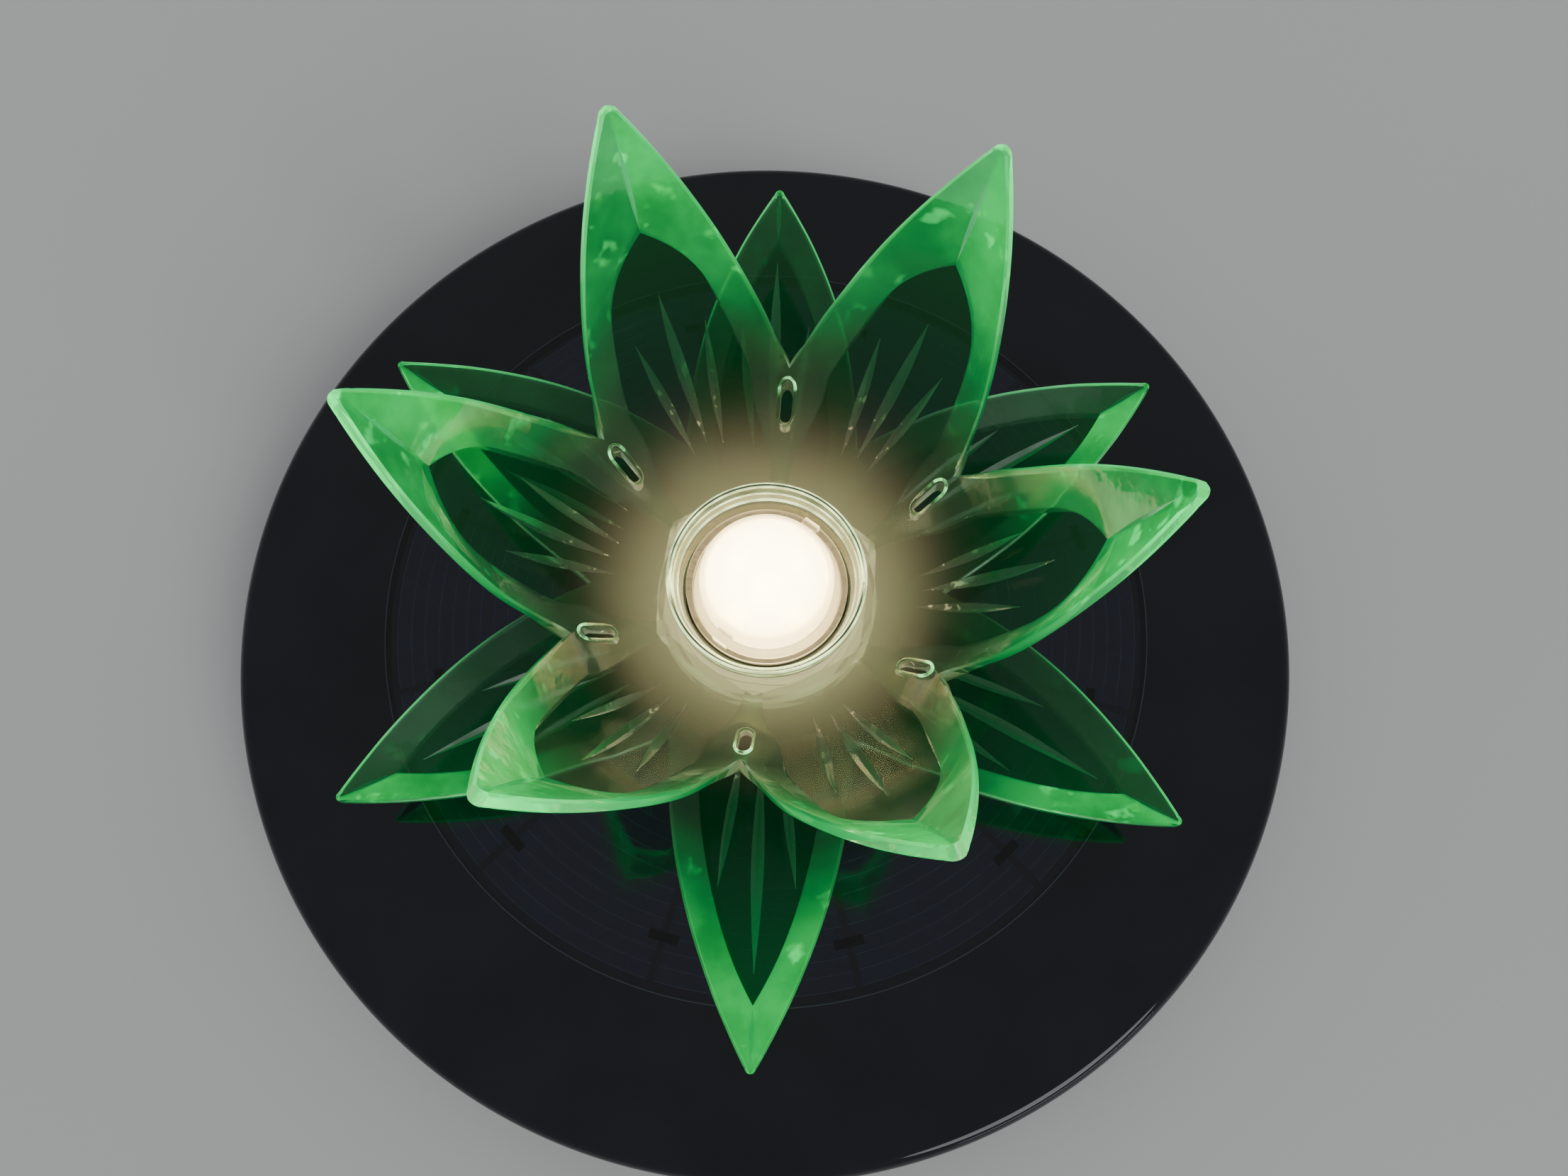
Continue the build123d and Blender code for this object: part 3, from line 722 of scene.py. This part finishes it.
def make_eyelets():
    """A raised bead round the slot where each pair of upper petals parts, with painted glints on its outer
    end.
    """
    section = [2 * math.pi * k / 10 for k in range(10)]
    made = bmesh.new()
    for k in range(PETALS):
        turn = Matrix.Rotation(UPPER.yaw + (2 * k + 1) * HALF_WEDGE, 4, "Z")
        rings = []
        for x, y, ahead, aside in obround(EYELET_R, BEAD_HALF, SLOT_REACH, 36):
            z, slope = valley(UPPER, x)
            up = Vector((-slope, 0, 1)).normalized()
            out = Vector((ahead, aside, slope * ahead)).normalized()
            centre = Vector((x, y, z)) + up * 0.6 * BEAD_WIRE
            ring = [centre + BEAD_WIRE * (math.cos(b) * out + math.sin(b) * up) for b in section]
            rings.append([made.verts.new(turn @ p) for p in ring])
        for a, b in zip(rings, rings[1:] + rings[:1]):
            for j in range(len(section)):
                n = (j + 1) % len(section)
                made.faces.new((a[j], a[n], b[n], b[j])).smooth = True
    bmesh.ops.recalc_face_normals(made, faces=made.faces)
    mesh = bpy.data.meshes.new("eyelet_beads")
    made.to_mesh(mesh)
    made.free()
    look = clear_plastic("eyelet_bead", (0.5, 0.75, 0.55), 0.06)
    # painted glints: patchy green emission on the outer end of each bead
    outer = look.span(look.radius(), EYELET_R, EYELET_R + SLOT_REACH + BEAD_HALF)
    painted_sparkle = look.span(look.noise(650, 2), 0.42, 0.62, 0.05, 1.3)
    look.set("Emission_Color", (0.3, 1.0, 0.35))
    look.set("Emission_Strength", look.math("MULTIPLY", outer, painted_sparkle))
    beads = link("eyelet_beads", mesh, look.material)
    finish_piece(beads, "upper_tier")


make_tiers()
make_eyelets()


# ---- lamp and cup ---------------------------------------------------------------
# painted glowing rings on the cup: height over the deck and its reach, radius and its reach; millimetres
PAINTED_CUP_RINGS = (
    (17.4, 0.5, 15.46, 0.14),
    (17.4, 0.5, 16.12, 0.18),
    (14.2, 0.8, 14.66, 0.14),
    (14.2, 0.8, 15.36, 0.12),
)


def dress_lamp():
    """The lamp under its lens, and the clear cup round it with painted glowing rings."""
    lens = clear_plastic("lens", (1.0, 0.95, 0.82), 0.25)
    out = lens.radius()
    outward = lens.span(out, 0.0, 11.4 * MM)
    lens.set("Emission_Color", lens.ramp(outward, (0.6, (1.0, 0.92, 0.62)), (0.95, (1.0, 0.76, 0.36))))
    lens.set("Emission_Strength", lens.span(out, 9.2 * MM, 11.0 * MM, 4.0, 0.3))
    dress("led_lens", lens.material)

    chips = Shader("chips", Roughness=0.35, Emission_Color=(1.0, 0.85, 0.5))
    chips.set("Base_Color", chips.ramp(chips.noise(900, 3), (0.3, (0.9, 0.62, 0.1)), (0.7, (1.0, 0.8, 0.25))))
    chips.set("Emission_Strength", chips.span(chips.noise(500, 2), 0.3, 0.7, 2.0, 3.0))
    dress("led_chips", chips.material)

    housing = moulded("housing", (0.02, 0.018, 0.016), 0.3, 0.3)
    dress("turret", housing.material)

    cup = clear_plastic("cup", (0.5, 0.6, 0.46), 0.05)
    height, out = cup.axis("Z"), cup.radius()
    painted_ring_lines = 0.0
    for level, band, radius, width in PAINTED_CUP_RINGS:
        ring = cup.math("MULTIPLY", cup.near(height, DECK_TOP + level * MM, band * MM),
                        cup.near(out, radius * MM, width * MM))
        painted_ring_lines = cup.math("ADD", painted_ring_lines, ring)
    # painted highlight: the rings glow green as emission, and the whole cup has a faint painted glow
    painted_ring_shine = cup.math("MULTIPLY", painted_ring_lines, cup.span(cup.noise(260, 3), 0.3, 0.7, 0.4, 1.6))
    cup.set("Emission_Color", (0.8, 1.0, 0.5))
    cup.set("Emission_Strength", cup.math("ADD", cup.math("MULTIPLY", painted_ring_shine, 1.5), 0.02))
    dress("flower_cup", cup.material)

    clip = moulded("clip", (0.55, 0.55, 0.52), 0.35, 0.3)
    dress("tier_clip", clip.material)


# ---- float ----------------------------------------------------------------------
WINDOW_R = 66.4 * MM
DECK_WALL, DECK_ROUND = 2.4, 2.2  # these and the next two lines are in millimetres
SKIRT, SKIRT_WALL, SKIRT_ROUND = 6.5, 2.2, 0.5
DECK_HOLE, HOLE_BREAK = 9, 0.3


def deck_section():
    """Half of the deck's section: a flat top, a rounded edge and a short skirt, in millimetres."""
    top, rim = DECK_TOP / MM, cad_high[0] / MM
    under, inside, low = top - DECK_WALL, rim - SKIRT_WALL, top - SKIRT
    section = [(DECK_HOLE, under), (DECK_HOLE, top - HOLE_BREAK), (DECK_HOLE + HOLE_BREAK, top)]
    section += arc((rim - DECK_ROUND, top - DECK_ROUND), DECK_ROUND, 90, 0, 16)
    section += arc((rim - SKIRT_ROUND, low), SKIRT_ROUND, 0, -90, 5)
    section += arc((inside + SKIRT_ROUND, low), SKIRT_ROUND, -90, -180, 5)
    return section + [(inside, under)]


def dress_float():
    """The hull, the deck with its clear window, and what closes them."""
    body = moulded("hull", (0.012, 0.013, 0.016), 0.42, 0.6)
    dress("hull", body.material)
    dress("battery_hatch", moulded("hatch", (0.014, 0.015, 0.018), 0.45, 0.6).material)
    dress("battery_tray", moulded("tray", (0.05, 0.05, 0.055), 0.5, 0.4).material)

    deck = Shader("deck", IOR=1.49)
    out = deck.radius()
    clear = deck.span(out, WINDOW_R, WINDOW_R + 0.3 * MM, 1.0, 0.0)
    print_tone = deck.ramp(deck.noise(60, 4), (0.35, (0.004, 0.005, 0.009)), (0.7, (0.007, 0.009, 0.014)))
    deck.set("Base_Color", deck.mix(clear, print_tone, (0.2, 0.24, 0.33)))
    deck.set("Transmission_Weight", clear)
    hairs = deck.ramp(deck.noise(420, 2, 0.6, (1, 20, 1)), (0.68, 0.0), (0.74, 1.0))
    wear = deck.math("MULTIPLY", hairs, deck.span(deck.noise(30, 2), 0.45, 0.7, 0.0, 0.16))
    deck.set("Roughness", deck.math("ADD", wear, deck.span(deck.noise(45, 4), 0.3, 0.7, 0.03, 0.08)))
    deck.bump(deck.noise(30, 1), 0.012, 0.3 * MM)
    cover = lathe("deck_look", deck_section(), deck.material)
    finish_piece(cover, "float", "deck_cover")

    backing = moulded("backing", (0.02, 0.022, 0.03), 0.55, 0.5)
    dress("solar_backing", backing.material)
    for node, colour in (("deck_seal", (0.02, 0.02, 0.022)), ("hatch_seal", (0.16, 0.05, 0.035)),
                         ("button_seal", (0.06, 0.06, 0.065)), ("power_button", (0.13, 0.14, 0.15))):
        dress(node, rubber(node, colour).material)

    steel = metal("screw_steel", (0.62, 0.61, 0.59), 0.28)
    for node in ("hull_screws", "hatch_screws", "turret_screws", "board_screws"):
        dress(node, steel.material)
    nickel = metal("contact_nickel", (0.7, 0.66, 0.58), 0.2, (14, 1, 1))
    dress("contact_plates", nickel.material)
    dress("contact_springs", nickel.material)


def dress_solar():
    """Dark cell wedges with fine silver fingers, and their tinned tabs."""
    cells = Shader("cells", IOR=2.0, Roughness=0.22, Coat_Weight=0.6, Coat_Roughness=0.08)
    out = cells.radius()
    grains = cells.node("ShaderNodeTexVoronoi", Vector=cells.place(), Scale=160).outputs["Color"]
    grain = cells.node("ShaderNodeSeparateXYZ", Vector=grains).outputs["X"]
    silicon = cells.ramp(grain, (0.1, (0.01, 0.02, 0.075)), (0.9, (0.02, 0.05, 0.16)))
    pitch = cells.math("FRACT", cells.math("DIVIDE", out, 2.4 * MM))
    finger = cells.math("LESS_THAN", pitch, 0.07)
    cells.set("Base_Color", cells.mix(finger, silicon, (0.5, 0.52, 0.55)))
    cells.set("Metallic", cells.math("MULTIPLY", finger, 0.9))
    cells.bump(grain, 0.1, 0.02 * MM)
    dress("solar_cells", cells.material)
    dress("cell_tabs", metal("tab_tin", (0.42, 0.43, 0.45), 0.35, (9, 9, 1)).material)


# ---- electrics ------------------------------------------------------------------
def dress_electrics():
    """The boards, what is soldered to them, the cells and the inner wires."""
    board = Shader("board", IOR=1.5, Coat_Weight=0.4, Coat_Roughness=0.15)
    tracks = board.node("ShaderNodeTexBrick", Vector=board.place(), Scale=1.0, Mortar_Size=0.12 * MM,
                        Brick_Width=2.1 * MM, Row_Height=0.9 * MM, Color1=(0.01, 0.1, 0.03),
                        Color2=(0.012, 0.14, 0.045), Mortar=(0.02, 0.24, 0.08))
    board.set("Base_Color", tracks.outputs["Color"])
    board.set("Roughness", board.span(board.noise(600, 3), 0.3, 0.7, 0.28, 0.42))
    board.bump(tracks.outputs["Fac"], 0.3, 0.03 * MM, 0.1 * MM)
    dress("control_board", board.material)

    white = Shader("led_board", IOR=1.5)
    chalk = white.ramp(white.noise(140, 4), (0.35, (0.62, 0.62, 0.58)), (0.7, (0.75, 0.75, 0.71)))
    white.set("Base_Color", chalk)
    white.set("Roughness", white.span(white.noise(500, 3), 0.3, 0.7, 0.3, 0.5))
    white.bump(white.noise(1500, 2), 0.15, 0.02 * MM, 0.1 * MM)
    dress("led_board", white.material)

    chip_low, chip_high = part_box("controller_chip")
    chip = moulded("chip", (0.018, 0.018, 0.02), 0.45, 0.5)
    middle = (chip_low.x + chip_high.x) / 2
    off_side = chip.math("ABSOLUTE", chip.math("SUBTRACT", chip.axis("X"), middle))
    pins = chip.math("GREATER_THAN", off_side, 2.02 * MM)
    chip.set("Metallic", pins)
    chip.set("Base_Color", chip.mix(pins, (0.018, 0.018, 0.02), (0.72, 0.72, 0.7)))
    dress("controller_chip", chip.material)

    coil_low, coil_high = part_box("boost_coil")
    coil = metal("coil", (0.75, 0.34, 0.14), 0.3, (1, 1, 30))
    out = coil.radius((coil_low.x + coil_high.x) / 2, (coil_low.y + coil_high.y) / 2)
    ferrite = coil.math("GREATER_THAN", out, 2.6 * MM)
    coil.set("Metallic", coil.math("SUBTRACT", 1.0, ferrite))
    coil.set("Base_Color", coil.mix(ferrite, (0.75, 0.34, 0.14), (0.03, 0.03, 0.034)))
    dress("boost_coil", coil.material)

    can = metal("can", (0.75, 0.76, 0.78), 0.25, (1, 1, 20))
    foot = can.math("LESS_THAN", can.axis("Z"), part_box("control_board")[1].z + 0.6 * MM)
    can.set("Metallic", can.math("SUBTRACT", 1.0, foot))
    can.set("Base_Color", can.mix(foot, (0.75, 0.76, 0.78), (0.02, 0.02, 0.022)))
    dress("storage_capacitor", can.material)

    dress("switch_body", moulded("switch_body", (0.03, 0.03, 0.034), 0.4, 0.4).material)
    dress("switch_plunger", moulded("switch_plunger", (0.5, 0.5, 0.48), 0.4, 0.4).material)

    jacket = moulded("jacket", (0.03, 0.16, 0.12), 0.3, 0.15)
    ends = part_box("battery_cells")[1].x - 2.4 * MM
    along = jacket.math("ABSOLUTE", jacket.axis("X"))
    bare = jacket.math("GREATER_THAN", along, ends)
    jacket.set("Metallic", bare)
    jacket.set("Base_Color", jacket.mix(bare, (0.03, 0.16, 0.12), (0.7, 0.69, 0.66)))
    dress("battery_cells", jacket.material)

    for node in ("led_leads", "solar_leads", "battery_leads"):
        lead = rubber(node, (0.3, 0.012, 0.01))
        black = lead.math("LESS_THAN", lead.axis("X"), 0.0)
        lead.set("Base_Color", lead.mix(black, (0.35, 0.014, 0.012), (0.015, 0.015, 0.017)))
        dress(node, lead.material)


dress_lamp()
dress_float()
dress_solar()
dress_electrics()


# ---- floor and light ------------------------------------------------------------
def make_floor():
    """A pale floor, far wider than the view."""
    made = bmesh.new()
    bmesh.ops.create_grid(made, x_segments=8, y_segments=8, size=15.0)
    mesh = bpy.data.meshes.new("floor")
    made.to_mesh(mesh)
    made.free()
    look = Shader("floor")
    look.set("Base_Color", look.ramp(look.noise(3, 4), (0.3, (0.8, 0.8, 0.79)), (0.7, (0.84, 0.84, 0.83))))
    look.set("Roughness", look.span(look.noise(8, 3), 0.3, 0.7, 0.5, 0.6))
    floor = link("floor", mesh, look.material)
    floor.location.z = cad_low[2] - 0.2 * MM


def area_light(name, place, size, watts, colour):
    """A soft panel that faces the flower."""
    data = bpy.data.lights.new(name, "AREA")
    data.shape = "RECTANGLE"
    data.size, data.size_y = size
    data.energy = watts
    data.color = colour
    lamp = bpy.data.objects.new(name, data)
    bpy.context.scene.collection.objects.link(lamp)
    lamp.location = place
    lamp.visible_camera = False
    lamp.rotation_euler = (Vector((0, 0, 0.03)) - Vector(place)).to_track_quat("-Z", "Y").to_euler()


def make_light():
    """A pale studio with a soft sun, and a thin low lamp that draws the line along the deck's rim."""
    world = bpy.data.worlds.new("studio")
    world.use_nodes = True
    back = world.node_tree.nodes["Background"]
    back.inputs["Color"].default_value = (0.92, 0.94, 0.97, 1)
    back.inputs["Strength"].default_value = 0.34
    bpy.context.scene.world = world
    sun = bpy.data.lights.new("sun", "SUN")
    sun.energy = 0.75
    sun.angle = math.radians(30)
    lamp = bpy.data.objects.new("sun", sun)
    bpy.context.scene.collection.objects.link(lamp)
    lamp.rotation_euler = (math.radians(50), 0, math.radians(40))
    area_light("rim", (0.5, -0.6, 0.1), (0.4, 0.02), 0.2, (0.8, 0.88, 1.0))


make_floor()
make_light()
